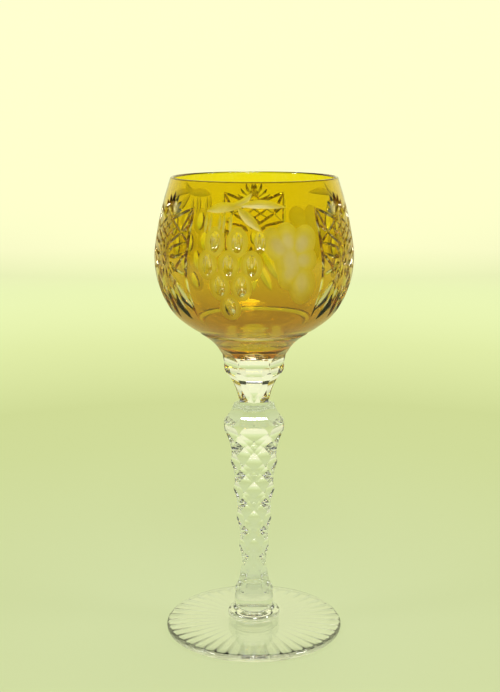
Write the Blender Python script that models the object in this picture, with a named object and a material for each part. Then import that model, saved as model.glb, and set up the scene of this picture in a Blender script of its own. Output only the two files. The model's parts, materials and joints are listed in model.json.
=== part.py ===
"""A tall hock glass in cut crystal, with an amber overlay on its bowl.

The glass stands on the plane z = 0 with its axis on +Z, and its front faces -Y. It is made of
gathers of glass fused end to end: foot, ring, collar, stem, neck and bowl, and the bowl wears a
thin amber skin that the pattern is cut through. The pattern repeats three times round the bowl:
a panel with grapes and a vine leaf, then a column of star and leaf cuts. The neck is cut
six-sided, with a side towards the front, and the stem in a lattice of lozenges.

Azimuths are in degrees from the front, positive towards +X.
"""

import math

import bmesh
import bpy
from mathutils import Matrix, Vector

MM = 0.001

# Driving dimensions
HEIGHT = 200 * MM
RIM_RADIUS = 35.2 * MM
BOWL_RADIUS = 42.2 * MM
BOWL_RADIUS_HEIGHT = 166 * MM
FOOT_RADIUS = 38.9 * MM
CASING_THICKNESS = 0.6 * MM
GAP = 0.3 * MM  # between two neighbours

# Heights at which one gather ends and the next begins, from the table up
FOOT_TOP = 4.4 * MM
RING_TOP = 8.6 * MM
COLLAR_TOP = 17.6 * MM
STEM_TOP = 102.9 * MM
NECK_TOP = 124.5 * MM
CASING_TOP = HEIGHT - 0.5 * MM

# Radii of the solid gathers
RING_RADIUS = 11.6 * MM
COLLAR_RADIUS = 8.6 * MM
NECK_TOP_RADIUS = 13.6 * MM

# Outlines, as (radius, height), drawn through by a smooth curve
BOWL_OUTSIDE = [
    (NECK_TOP_RADIUS, NECK_TOP + GAP),
    (18.7 * MM, 131 * MM),
    (33.4 * MM, 142 * MM),
    (40.0 * MM, 154 * MM),
    (BOWL_RADIUS, BOWL_RADIUS_HEIGHT),
    (40.7 * MM, 178 * MM),
    (38.0 * MM, 190 * MM),
    (RIM_RADIUS, HEIGHT),
]
BOWL_INSIDE = [
    (0, 130.8 * MM),
    (17.5 * MM, 134.6 * MM),
    (30.4 * MM, 143.6 * MM),
    (37.3 * MM, 154.6 * MM),
    (39.6 * MM, BOWL_RADIUS_HEIGHT),
    (38.5 * MM, 178 * MM),
    (36.2 * MM, 190 * MM),
    (RIM_RADIUS - 1.5 * MM, HEIGHT - 0.4 * MM),
]
NECK_OUTSIDE = [
    (8.5 * MM, STEM_TOP + GAP),
    (8.5 * MM, 107 * MM),
    (9.6 * MM, 112 * MM),
    (12.4 * MM, 117 * MM),
    (12.9 * MM, 120 * MM),
    (NECK_TOP_RADIUS, NECK_TOP),
]
STEM_OUTSIDE = [
    (8.5 * MM, COLLAR_TOP + GAP),
    (6.9 * MM, 24 * MM),
    (6.8 * MM, 32 * MM),
    (7.6 * MM, 44 * MM),
    (8.8 * MM, 58 * MM),
    (10.0 * MM, 70 * MM),
    (11.3 * MM, 82 * MM),
    (12.9 * MM, 91 * MM),
    (12.6 * MM, 97 * MM),
    (8.6 * MM, STEM_TOP),
]
OUTLINE_STEPS = 2  # of the curve, between two of these points
TURNED_STEPS = 48  # round every turned piece
TURNED_START = 2  # degrees, which keeps the turned edges off the planes where two cuts meet

# Wheel cuts on the neck and the stem
SIDES = 6
SIDE = 360 / SIDES
WAIST_HEIGHT = 106 * MM  # the neck's narrowest place, across its flats
WAIST_FLAT = 7.15 * MM
WAIST_WHEEL = 15 * MM
KNOP_HEIGHT = 120 * MM  # the upright flats under the bowl
KNOP_FLAT = 11.2 * MM
KNOP_WHEEL = 9 * MM
SHOULDER_WHEEL = 30 * MM  # the leaning flats that take off the corners above and below the waist
UPPER_SHOULDER = (10.6 * MM, 115 * MM, -33)  # radius, height and lean in degrees
LOWER_SHOULDER = (10.4 * MM, 100 * MM, 35)
LATTICE_COLUMNS = 12  # of hollows round the stem
LATTICE_PITCH = 13 * MM  # between two hollows of a column; the next column is half a pitch lower
LATTICE_TOP = 90 * MM
LATTICE_BOTTOM = 24 * MM
LATTICE_WHEEL = 16 * MM
LATTICE_RIDGE = 0.975  # how far out the ridges between the hollows come, as a share of the radius
WHEEL_SEGMENTS = 48

# The foot
FLUTES = 40
FLUTE_START = 23 * MM
FLUTE_DEPTH = 0.65 * MM  # at the foot's edge
FLUTE_WHEEL = 0.2  # a flute's own radius, as a share of its distance from the axis
FLUTE_SEGMENTS = 36
KICK_RADIUS = 12 * MM  # the hollow in the middle of the underside
KICK_DEPTH = 0.6 * MM

# The bowl's pattern, cut through the casing
REPEATS = 3
COLUMN_AZIMUTH = 60
GRAPE_SIZE = (7.4 * MM, 10.0 * MM)  # across, up
GRAPE_SPACING = 12.7  # degrees
GRAPE_ROWS = [  # height, azimuth of the row's middle, grapes
    (177.0 * MM, -9.5, 3),
    (168.0 * MM, -14.0, 3),
    (159.2 * MM, -13.5, 2),
    (150.8 * MM, -14.0, 1),
]
LEAF_CENTRE = (22, 168 * MM)  # azimuth, height
LEAF_LOBES = [(0, 15.5 * MM), (62, 12.5 * MM), (128, 11.0 * MM)]  # degrees from the tip, reach
LEAF_NOTCH = 0.6  # how far in the outline comes between two lobes, as a share of their reach
LEAF_STALK_REACH = 4.5 * MM
WINDOW_DEPTH = 24 * MM


def smooth_outline(points):
    """A Catmull-Rom curve through the points."""
    knots = [Vector(p) for p in points]
    knots = [2 * knots[0] - knots[1], *knots, 2 * knots[-1] - knots[-2]]
    curve = []
    for before, start, end, after in zip(knots, knots[1:], knots[2:], knots[3:]):
        for step in range(OUTLINE_STEPS):
            t = step / OUTLINE_STEPS
            linear = (end - before) * t
            square = (2 * before - 5 * start + 4 * end - after) * t**2
            cubic = (3 * start - before - 3 * end + after) * t**3
            curve.append(start + (linear + square + cubic) / 2)
    return [(p.x, p.y) for p in [*curve, knots[-2]]]


def inset(outline, distance):
    """An outside, listed from the bottom up, moved into the glass by a distance."""
    moved = []
    for i, (radius, height) in enumerate(outline):
        ahead = Vector(outline[min(i + 1, len(outline) - 1)])
        behind = Vector(outline[max(i - 1, 0)])
        along = (ahead - behind).normalized()
        moved.append((radius - distance * along.y, height + distance * along.x))
    return moved


def radius_and_lean(outline, height):
    """The radius of an outline at a height, and how far its glass faces up there, in degrees."""
    for (low_radius, low), (high_radius, high) in zip(outline, outline[1:]):
        if low <= height <= high:
            share = (height - low) / (high - low)
            lean = math.degrees(math.atan2(low_radius - high_radius, high - low))
            return low_radius + share * (high_radius - low_radius), lean
    raise ValueError(f"the outline has no height {height}")


def glass(name, colour, roughness):
    material = bpy.data.materials.new(name)
    material.use_nodes = True
    shader = material.node_tree.nodes["Principled BSDF"]
    shader.inputs["Base Color"].default_value = (*colour, 1)
    shader.inputs["Roughness"].default_value = roughness
    shader.inputs["Metallic"].default_value = 0
    shader.inputs["Transmission Weight"].default_value = 1
    shader.inputs["IOR"].default_value = 1.54
    material.diffuse_color = (*colour, 0.4)
    return material


def turned(name, outline, material):
    """A piece turned by a Screw modifier from an outline that runs down its outer side.

    The outline starts and ends on the axis, or else it is closed on itself.
    """
    mesh = bpy.data.meshes.new(name)
    edges = [(i, i + 1) for i in range(len(outline) - 1)]
    if outline[0][0] > 0:
        edges.append((len(outline) - 1, 0))
    mesh.from_pydata([(radius, 0, height) for radius, height in outline], edges, [])
    mesh.materials.append(material)
    thing = bpy.data.objects.new(name, mesh)
    thing.rotation_euler.z = math.radians(TURNED_START)
    bpy.context.scene.collection.objects.link(thing)
    screw = thing.modifiers.new("turn", "SCREW")
    screw.steps = TURNED_STEPS
    screw.render_steps = TURNED_STEPS
    screw.use_merge_vertices = True
    screw.merge_threshold = 0.01 * MM
    return thing


def cutters(name, shapes):
    """A collection of hidden objects, one for each cutting shape, which is a bmesh and is used up."""
    tools = bpy.data.collections.new(name)
    bpy.context.scene.collection.children.link(tools)
    for shape in shapes:
        bmesh.ops.recalc_face_normals(shape, faces=shape.faces)
        mesh = bpy.data.meshes.new(name)
        shape.to_mesh(mesh)
        shape.free()
        tool = bpy.data.objects.new(name, mesh)
        tool.hide_render = True
        tool.display_type = "WIRE"
        tools.objects.link(tool)
    return tools


def cut(thing, tools):
    difference = thing.modifiers.new(tools.name, "BOOLEAN")
    difference.operation = "DIFFERENCE"
    difference.solver = "EXACT"
    difference.operand_type = "COLLECTION"
    difference.collection = tools


def wheel(azimuth, flat, height, wheel_radius, lean=0):
    """A grinding wheel with its axle level and square to the azimuth.

    It bottoms out at a distance from the axis, flat, and at a height. A cut with a positive
    lean, in degrees, faces up.
    """
    shape = bmesh.new()
    bmesh.ops.create_cone(
        shape,
        cap_ends=True,
        segments=WHEEL_SEGMENTS,
        radius1=wheel_radius,
        radius2=wheel_radius,
        depth=2 * BOWL_RADIUS,
    )
    half_segment = math.pi / WHEEL_SEGMENTS
    reach = wheel_radius * math.cos(half_segment)
    lean = math.radians(lean)
    centre = Vector((0, -flat - reach * math.cos(lean), height + reach * math.sin(lean)))
    place = Matrix.Rotation(math.radians(azimuth), 4, "Z") @ Matrix.Translation(centre)
    face_glass = Matrix.Rotation(-lean, 4, "X")
    lay_down = Matrix.Rotation(math.pi / 2, 4, "Y") @ Matrix.Rotation(half_segment, 4, "Z")
    bmesh.ops.transform(shape, matrix=place @ face_glass @ lay_down, verts=shape.verts)
    return shape


def wheel_ring(name, first_azimuth, *cut_shape):
    return cutters(name, [wheel(first_azimuth + SIDE * i, *cut_shape) for i in range(SIDES)])


def lattice_cuts(outline):
    """The stem's lozenge hollows, each as deep as lets the ridges round it reach the outline."""
    half_pitch = LATTICE_PITCH / 2
    rise = LATTICE_WHEEL - math.sqrt(LATTICE_WHEEL**2 - half_pitch**2)
    shapes = []
    for column in range(LATTICE_COLUMNS):
        height = LATTICE_TOP - half_pitch * (column % 2)
        while height >= LATTICE_BOTTOM:
            radius, lean = radius_and_lean(outline, height)
            azimuth = 360 / LATTICE_COLUMNS * column
            shapes.append(wheel(azimuth, LATTICE_RIDGE * radius - rise, height, LATTICE_WHEEL, lean))
            height -= LATTICE_PITCH
    return cutters("stem_hollows", shapes)


def flutes():
    """Cones side by side, pointing at the axis, that bite deeper towards the foot's edge."""
    inner, outer = 0.88 * FLUTE_START, 1.05 * FOOT_RADIUS
    rise = FLUTE_DEPTH / (FOOT_RADIUS - FLUTE_START)
    shapes = []
    for i in range(FLUTES):
        shape = bmesh.new()
        ends = []
        for radius in (inner, outer):
            ends.append((radius, (radius - FLUTE_START) * rise - radius * FLUTE_WHEEL))
        (near, near_height), (far, far_height) = ends
        bmesh.ops.create_cone(
            shape,
            cap_ends=True,
            segments=FLUTE_SEGMENTS,
            radius1=inner * FLUTE_WHEEL,
            radius2=outer * FLUTE_WHEEL,
            depth=outer - inner,
        )
        tilt = math.atan2(far_height - near_height, far - near)
        centre = Vector(((near + far) / 2, 0, (near_height + far_height) / 2))
        place = Matrix.Rotation(math.tau * i / FLUTES, 4, "Z") @ Matrix.Translation(centre)
        aim = Matrix.Rotation(math.pi / 2 - tilt, 4, "Y")
        bmesh.ops.transform(shape, matrix=place @ aim, verts=shape.verts)
        shapes.append(shape)
    return cutters("foot_flutes", shapes)


def window(azimuth, height, outline):
    """A prism through the casing, its outline drawn as (across, up) about a point on the bowl."""
    shape = bmesh.new()
    bowl_radius, _ = radius_and_lean(smooth_outline(BOWL_OUTSIDE), height)
    near = -bowl_radius - WINDOW_DEPTH / 2
    face = shape.faces.new([shape.verts.new((across, near, height + up)) for across, up in outline])
    pushed = bmesh.ops.extrude_face_region(shape, geom=[face])
    moved = [v for v in pushed["geom"] if isinstance(v, bmesh.types.BMVert)]
    bmesh.ops.translate(shape, vec=(0, WINDOW_DEPTH, 0), verts=moved)
    turn = Matrix.Rotation(math.radians(azimuth), 4, "Z")
    bmesh.ops.transform(shape, matrix=turn, verts=shape.verts)
    return shape


def oval(width, length):
    corners = 8
    turns = [math.tau * i / corners for i in range(corners)]
    return [(width / 2 * math.cos(t), length / 2 * math.sin(t)) for t in turns]


def mitre(width, length, direction, start):
    """The pointed opening left by a V-edged wheel. It starts a distance away from the point
    that it is drawn about, and runs in a direction given in degrees clockwise from upright."""
    half = width / 2
    stations = [(0, 0), (half, 1 / 3), (half, 2 / 3), (0, 1), (-half, 2 / 3), (-half, 1 / 3)]
    turn = Matrix.Rotation(math.radians(-direction), 2)
    return [tuple(turn @ Vector((across, start + length * share))) for across, share in stations]


def leaf():
    """A vine leaf with its tip down: a lobe at the tip, two on each side, and the stalk's notch."""
    side = []
    for (angle, reach), (next_angle, next_reach) in zip(LEAF_LOBES, LEAF_LOBES[1:]):
        side += [(angle, reach), ((angle + next_angle) / 2, LEAF_NOTCH * (reach + next_reach) / 2)]
    side.append(LEAF_LOBES[-1])
    other_side = [(-angle, reach) for angle, reach in reversed(side[1:])]
    turns = [*side, (180, LEAF_STALK_REACH), *other_side]
    return [
        (reach * math.sin(math.radians(angle)), -reach * math.cos(math.radians(angle)))
        for angle, reach in turns
    ]


def grape_panel(centre):
    shapes = []
    for height, middle, count in GRAPE_ROWS:
        for i in range(count):
            azimuth = centre + middle + GRAPE_SPACING * (i - (count - 1) / 2)
            shapes.append(window(azimuth, height, oval(*GRAPE_SIZE)))
    azimuth, height = LEAF_CENTRE
    return [*shapes, window(centre + azimuth, height, leaf())]


def star_column(centre):
    """A fan of petals at the top, an eye in the middle, and leaf cuts hanging below it."""
    shapes = []
    for direction in (-56, -28, 0, 28, 56):
        shapes.append(window(centre, 183.5 * MM, mitre(2.3 * MM, 9 * MM, direction, 2.2 * MM)))
    shapes.append(window(centre, 169 * MM, oval(8 * MM, 10 * MM)))
    for direction in (142, 218):
        shapes.append(window(centre, 181.5 * MM, mitre(2.2 * MM, 9 * MM, direction, 1.5 * MM)))
        shapes.append(window(centre, 164 * MM, mitre(4.6 * MM, 15 * MM, direction, 3.5 * MM)))
    shapes.append(window(centre, 160 * MM, mitre(4.2 * MM, 15 * MM, 180, 3.5 * MM)))
    return shapes


def make_bowl():
    """The crystal bowl, which leaves room for the casing round it, and the casing."""
    outside = smooth_outline(BOWL_OUTSIDE)
    crystal_outside = inset(outside, CASING_THICKNESS + GAP)
    crystal_outside[0] = (crystal_outside[0][0], NECK_TOP + GAP)
    crystal_outside[-1] = (RIM_RADIUS - CASING_THICKNESS - GAP, HEIGHT)
    inside = smooth_outline(BOWL_INSIDE)
    crystal = glass("clear_bowl_glass", (0.98, 0.99, 0.96), 0.02)
    outline = [*inside, *reversed(crystal_outside), (0, NECK_TOP + GAP)]
    bowl = turned("bowl_crystal", outline, crystal)

    casing_inside = inset(outside, CASING_THICKNESS)
    casing_inside[0] = (casing_inside[0][0], NECK_TOP + GAP)
    casing_inside[-1] = (RIM_RADIUS - CASING_THICKNESS, CASING_TOP)
    outside[-1] = (RIM_RADIUS, CASING_TOP)
    amber = glass("amber_glass", (0.9, 0.6, 0.03), 0.03)
    casing = turned("amber_casing", [*reversed(outside), *casing_inside], amber)
    shapes = []
    for i in range(REPEATS):
        shapes += grape_panel(360 / REPEATS * i)
        shapes += star_column(360 / REPEATS * i + COLUMN_AZIMUTH)
    cut(casing, cutters("pattern", shapes))
    return bowl, casing


def make_neck():
    outside = smooth_outline(NECK_OUTSIDE)
    outline = [(0, NECK_TOP), *reversed(outside), (0, STEM_TOP + GAP)]
    return turned("neck_knop", outline, glass("clear_neck_glass", (0.97, 0.99, 0.95), 0.01))


def make_stem():
    outside = smooth_outline(STEM_OUTSIDE)
    outline = [(0, STEM_TOP), *reversed(outside), (0, COLLAR_TOP + GAP)]
    stem = turned("stem", outline, glass("clear_stem_glass", (0.97, 0.98, 0.97), 0.01))
    cut(stem, lattice_cuts(outside))
    return stem


def make_collar():
    bottom = RING_TOP + GAP
    edge = 0.4 * MM
    outline = [
        (0, COLLAR_TOP),
        (COLLAR_RADIUS - edge, COLLAR_TOP),
        (COLLAR_RADIUS, COLLAR_TOP - edge),
        (COLLAR_RADIUS, bottom + edge),
        (COLLAR_RADIUS - edge, bottom),
        (0, bottom),
    ]
    turned("stem_base_collar", outline, glass("clear_collar_glass", (0.98, 0.98, 0.98), 0.01))


def make_ring():
    """A ring with a round rim: half an ellipse from the top face to the bottom face."""
    bottom = FOOT_TOP + GAP
    middle = (RING_TOP + bottom) / 2
    half = (RING_TOP - bottom) / 2
    bulge = 2.4 * MM
    turns = [math.pi / 8 * i for i in range(9)]
    rim = [(RING_RADIUS - bulge + bulge * math.sin(t), middle + half * math.cos(t)) for t in turns]
    outline = [(0, RING_TOP), *rim, (0, bottom)]
    turned("merese_ring", outline, glass("clear_ring_glass", (0.98, 0.98, 0.98), 0.01))


def make_foot():
    """A low dome with a rounded edge, flat below round a shallow hollow."""
    outline = [
        (0, FOOT_TOP),
        (RING_RADIUS + 1 * MM, FOOT_TOP),
        (0.6 * FOOT_RADIUS, 3.9 * MM),
        (FOOT_RADIUS - 2.5 * MM, 3.1 * MM),
        (FOOT_RADIUS - 0.6 * MM, 2.6 * MM),
        (FOOT_RADIUS, 1.8 * MM),
        (FOOT_RADIUS - 0.2 * MM, 0.6 * MM),
        (FOOT_RADIUS - 1 * MM, 0),
        (KICK_RADIUS, 0),
        (KICK_RADIUS / 2, 0.8 * KICK_DEPTH),
        (0, KICK_DEPTH),
    ]
    foot = turned("foot", outline, glass("clear_foot_glass", (0.97, 0.98, 0.96), 0.01))
    cut(foot, flutes())


def main():
    for thing in list(bpy.data.objects):
        bpy.data.objects.remove(thing)
    bowl, casing = make_bowl()
    neck = make_neck()
    stem = make_stem()
    make_collar()
    make_ring()
    make_foot()

    knop_flats = wheel_ring("knop_flats", 0, KNOP_FLAT, KNOP_HEIGHT, KNOP_WHEEL)
    for thing in (bowl, casing, neck):
        cut(thing, knop_flats)
    waist_flats = wheel_ring("waist_flats", 0, WAIST_FLAT, WAIST_HEIGHT, WAIST_WHEEL)
    for thing in (neck, stem):
        cut(thing, waist_flats)
    flat, height, lean = UPPER_SHOULDER
    cut(neck, wheel_ring("upper_shoulder", SIDE / 2, flat, height, SHOULDER_WHEEL, lean))
    flat, height, lean = LOWER_SHOULDER
    cut(stem, wheel_ring("lower_shoulder", SIDE / 2, flat, height, SHOULDER_WHEEL, lean))


main()
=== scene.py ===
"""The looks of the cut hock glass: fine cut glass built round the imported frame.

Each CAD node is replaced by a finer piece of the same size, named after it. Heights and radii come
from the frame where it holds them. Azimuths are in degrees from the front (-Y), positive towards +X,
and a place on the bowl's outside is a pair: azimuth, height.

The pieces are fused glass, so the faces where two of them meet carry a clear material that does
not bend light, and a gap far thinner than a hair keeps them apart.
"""

import json
import math

import bmesh
import bpy
import numpy as np
from mathutils import Matrix, Vector

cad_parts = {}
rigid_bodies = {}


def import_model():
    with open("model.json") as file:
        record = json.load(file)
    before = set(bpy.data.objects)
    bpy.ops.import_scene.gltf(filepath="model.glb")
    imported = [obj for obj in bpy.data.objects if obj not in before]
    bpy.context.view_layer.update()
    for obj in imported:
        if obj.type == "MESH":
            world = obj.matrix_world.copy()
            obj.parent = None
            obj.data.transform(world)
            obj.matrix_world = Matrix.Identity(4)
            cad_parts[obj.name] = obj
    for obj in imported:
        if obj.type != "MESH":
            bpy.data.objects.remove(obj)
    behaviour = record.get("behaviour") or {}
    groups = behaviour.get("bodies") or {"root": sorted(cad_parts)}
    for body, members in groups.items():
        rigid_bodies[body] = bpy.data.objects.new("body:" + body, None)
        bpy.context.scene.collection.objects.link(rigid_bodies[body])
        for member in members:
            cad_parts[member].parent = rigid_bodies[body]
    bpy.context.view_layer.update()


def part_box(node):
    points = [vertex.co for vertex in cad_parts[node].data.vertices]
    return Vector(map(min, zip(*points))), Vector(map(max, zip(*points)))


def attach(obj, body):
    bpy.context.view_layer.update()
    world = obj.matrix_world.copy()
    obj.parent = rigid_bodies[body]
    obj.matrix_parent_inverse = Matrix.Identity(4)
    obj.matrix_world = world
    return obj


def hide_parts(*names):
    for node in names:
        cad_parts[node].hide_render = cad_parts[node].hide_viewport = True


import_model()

MM = 0.001

# -------- sizes read from the frame


def top(node):
    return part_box(node)[1].z


def half_width(node):
    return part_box(node)[1].x


HEIGHT = top("bowl_crystal")
BOWL_RADIUS = half_width("amber_casing")
FOOT_RADIUS = half_width("foot")
RING_RADIUS = half_width("merese_ring")
COLLAR_RADIUS = half_width("stem_base_collar")
SEAM_GAP = 0.02 * MM  # between two fused pieces

# Each joint lies in the middle of the gap that the CAD pieces keep
FOOT_JOINT = (top("foot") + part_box("merese_ring")[0].z) / 2
RING_JOINT = (top("merese_ring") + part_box("stem_base_collar")[0].z) / 2
COLLAR_JOINT = (top("stem_base_collar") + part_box("stem")[0].z) / 2
STEM_JOINT = (top("stem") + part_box("neck_knop")[0].z) / 2
NECK_JOINT = (top("neck_knop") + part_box("bowl_crystal")[0].z) / 2

# -------- outlines and turned meshes

CASING = 0.45 * MM  # the thickness of the amber layer
RIM_RADIUS = 35.2 * MM
RIM_WALL = 1.5 * MM
RIM_ROUND = 0.8 * MM  # height of the fire-polished edge
NECK_TOP_RADIUS = 13.6 * MM
ROUND_STEPS = 240  # round a turned piece
FIRST_STEP = 0.7  # where they start, in steps from the front, so that none lies in a cut's middle
OUTLINE_STEPS = 9  # between two points of an outline
SKIN_STEPS = 32  # the same, for the surface that the pattern is laid out on
SAME_POINT = 1e-7  # points of an outline that are closer than this are one, m

BOWL_OUTSIDE = [
    (NECK_TOP_RADIUS, NECK_JOINT),
    (18.7 * MM, 131 * MM),
    (33.4 * MM, 142 * MM),
    (40.0 * MM, 154 * MM),
    (BOWL_RADIUS, 166 * MM),
    (40.7 * MM, 178 * MM),
    (38.0 * MM, 190 * MM),
    (RIM_RADIUS, HEIGHT - RIM_ROUND),
]
BOWL_INSIDE = [
    (0, 130.8 * MM),
    (9 * MM, 131.8 * MM),
    (17.5 * MM, 134.8 * MM),
    (30.4 * MM, 143.6 * MM),
    (37.3 * MM, 154.6 * MM),
    (39.6 * MM, 166 * MM),
    (38.5 * MM, 178 * MM),
    (36.2 * MM, 190 * MM),
    (RIM_RADIUS - RIM_WALL, HEIGHT - RIM_ROUND),
]
NECK_OUTSIDE = [
    (8.5 * MM, STEM_JOINT),
    (8.5 * MM, 107 * MM),
    (9.6 * MM, 112 * MM),
    (12.4 * MM, 117 * MM),
    (12.9 * MM, 120 * MM),
    (NECK_TOP_RADIUS, NECK_JOINT),
]
STEM_OUTSIDE = [
    (8.5 * MM, COLLAR_JOINT),
    (6.9 * MM, 24 * MM),
    (6.8 * MM, 32 * MM),
    (7.6 * MM, 44 * MM),
    (8.8 * MM, 58 * MM),
    (10.0 * MM, 70 * MM),
    (11.3 * MM, 82 * MM),
    (12.9 * MM, 91 * MM),
    (12.6 * MM, 97 * MM),
    (8.6 * MM, STEM_JOINT),
]


def smooth_outline(points, steps=OUTLINE_STEPS):
    """A Catmull-Rom curve through the points."""
    knots = [Vector(p) for p in points]
    knots = [2 * knots[0] - knots[1], *knots, 2 * knots[-1] - knots[-2]]
    curve = []
    for before, start, end, after in zip(knots, knots[1:], knots[2:], knots[3:]):
        for step in range(steps):
            t = step / steps
            linear = (end - before) * t
            square = (2 * before - 5 * start + 4 * end - after) * t**2
            cubic = (3 * start - before - 3 * end + after) * t**3
            curve.append(start + (linear + square + cubic) / 2)
    return [tuple(p) for p in [*curve, knots[-2]]]


class Skin:
    """A turned surface from its outline, bottom up: places, normals and distances on it."""

    def __init__(self, outline):
        self.radii = np.array([p[0] for p in outline])
        self.heights = np.array([p[1] for p in outline])
        steps = np.hypot(np.diff(self.radii), np.diff(self.heights))
        self.lengths = np.concatenate([[0], np.cumsum(steps)])
        self.along = np.gradient(np.stack([self.radii, self.heights]), self.lengths, axis=1)

    def radius(self, height):
        return float(np.interp(height, self.heights, self.radii))

    def direction(self, height):
        """How the outline runs at a height: its outward and its upward share."""
        outward, upward = self.along
        return np.interp(height, self.heights, outward), np.interp(height, self.heights, upward)

    def normal(self, azimuth, height):
        angle = math.radians(azimuth)
        outward, upward = self.direction(height)
        return Vector((math.sin(angle) * upward, -math.cos(angle) * upward, -outward)).normalized()

    def spot(self, azimuth, height, out=0.0):
        """The point at a place, moved out of the glass by a distance."""
        angle = math.radians(azimuth)
        radius = self.radius(height)
        point = Vector((radius * math.sin(angle), -radius * math.cos(angle), height))
        return point + self.normal(azimuth, height) * out

    def shifted(self, place, across, up):
        """The place that lies a distance across and a distance up from another, along the glass."""
        azimuth, height = place
        length = float(np.interp(height, self.heights, self.lengths)) + up
        new_height = float(np.interp(length, self.lengths, self.heights))
        return azimuth + math.degrees(across / self.radius(new_height)), new_height


SKIN = Skin(smooth_outline(BOWL_OUTSIDE, SKIN_STEPS))


def inset(outline, distance):
    """An outside, listed from the bottom up, moved into the glass by a distance."""
    moved = []
    for i, (radius, height) in enumerate(outline):
        ahead = Vector(outline[min(i + 1, len(outline) - 1)])
        behind = Vector(outline[max(i - 1, 0)])
        along = (ahead - behind).normalized()
        moved.append((radius - distance * along.y, height + distance * along.x))
    return moved


def placed(name, data):
    """A new object in the scene."""
    thing = bpy.data.objects.new(name, data)
    bpy.context.scene.collection.objects.link(thing)
    return thing


def same(point, other):
    return (Vector(point) - Vector(other)).length < SAME_POINT


def turned_mesh(name, runs):
    """A closed mesh turned about the axis. runs is a list of (outline, slot), end to end, going
    down the outer side, and each run's faces get its material slot."""
    points, slots = [], []
    for outline, slot in runs:
        for point in outline:
            if points and same(point, points[-1]):
                continue
            if points:
                slots.append(slot)
            points.append(point)
    starts_on_axis = points[0][0] <= SAME_POINT
    if not starts_on_axis and same(points[0], points[-1]):
        points.pop()
    mesh = bmesh.new()
    rings = []
    for radius, height in points:
        if radius < SAME_POINT:
            rings.append([mesh.verts.new((0, 0, height))])
            continue
        ring = []
        for i in range(ROUND_STEPS):
            angle = math.tau * (i + FIRST_STEP) / ROUND_STEPS
            ring.append(mesh.verts.new((radius * math.sin(angle), -radius * math.cos(angle), height)))
        rings.append(ring)
    pairs = list(zip(rings, rings[1:]))
    if not starts_on_axis:
        pairs.append((rings[-1], rings[0]))
    for (upper, lower), slot in zip(pairs, slots):
        for i in range(ROUND_STEPS):
            j = (i + 1) % ROUND_STEPS
            corners = ((upper, i), (lower, i), (lower, j), (upper, j))
            face = dict.fromkeys(ring[k % len(ring)] for ring, k in corners)
            mesh.faces.new(list(face)).material_index = slot
    made = bpy.data.meshes.new(name)
    mesh.to_mesh(made)
    mesh.free()
    return made


# -------- cutting tools

CLEAR_OF_GLASS = 0.6 * MM  # how far a cutting shape stands out of the glass
RUN_OUT = 0.05 * MM  # how far above the glass a groove's two ends lie
LEAST_HALF_WIDTH = 0.02 * MM  # of a groove, at its ends
GROOVE_STEPS = 14  # along a groove
DISH_RINGS = 8
DISH_SIDES = 28
DISH_EDGE = 1.06  # a dish goes on past the glass by this share
WHEEL_SEGMENTS = 180
SLIVER = 0.002 * MM  # an edge shorter than this is left over from cutting


def in_slot(shape, slot):
    """The shape with all its faces in one material slot."""
    for face in shape.faces:
        face.material_index = slot
    return shape


def closed_shape(rings, slot):
    """A closed mesh through rings of points, its ends filled, all faces in one slot."""
    shape = bmesh.new()
    loops = [[shape.verts.new(p) for p in ring] for ring in rings]
    count = len(loops[0])
    for near, far in zip(loops, loops[1:]):
        for i in range(count):
            j = (i + 1) % count
            shape.faces.new((near[i], near[j], far[j], far[i]))
    shape.faces.new(reversed(loops[0]))
    shape.faces.new(loops[-1])
    bmesh.ops.recalc_face_normals(shape, faces=shape.faces)
    return in_slot(shape, slot)


def smooth_path(places, steps):
    """Places along the straight line between two, or along a smooth curve through more."""
    if len(places) == 2:
        (a0, h0), (a1, h1) = places
        return [(a0 + (a1 - a0) * i / steps, h0 + (h1 - h0) * i / steps) for i in range(steps + 1)]
    return smooth_outline(places, max(2, steps // (len(places) - 1)))


V_SECTION = [(1, 0), (0, -1), (-1, 0)]
SOFT_SECTION = [(x, x**2 - 1) for x in np.linspace(1, -1, 9)]


def groove(places, width, depth, slot, section=V_SECTION, blunt=2, steps=GROOVE_STEPS, on=SKIN):
    """A groove along a path on a surface, deepest half way and running out at both ends.

    blunt is 2 for a leaf-shaped mitre, and more for a line that keeps its width for longer.
    """
    path = smooth_path(places, steps)
    flare = width / 2 / depth * CLEAR_OF_GLASS if section is V_SECTION else 0
    rings = []
    for i, (azimuth, height) in enumerate(path):
        share = 2 * i / (len(path) - 1) - 1
        deep = (depth + RUN_OUT) * (1 - abs(share) ** blunt) - RUN_OUT
        size = max(deep, 0) / depth
        half = max(size * width / 2, LEAST_HALF_WIDTH)
        here = on.spot(azimuth, height)
        normal = on.normal(azimuth, height)
        ahead = on.spot(*path[min(i + 1, len(path) - 1)])
        behind = on.spot(*path[max(i - 1, 0)])
        along = (ahead - behind).normalized()
        side = normal.cross(along).normalized()
        ring = []
        for across, down in section:
            out = down * size * depth + (RUN_OUT if deep < 0 else 0)
            ring.append(here + side * (across * half) + normal * out)
        for hand in (-1, 1):
            ring.append(here + side * (hand * (half + flare)) + normal * CLEAR_OF_GLASS)
        rings.append(ring)
    return closed_shape(rings, slot)


def bridge(shape, inner, outer):
    """Four-sided faces between two rings of points."""
    count = len(inner)
    for i in range(count):
        j = (i + 1) % count
        shape.faces.new((inner[i], outer[i], outer[j], inner[j]))


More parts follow.
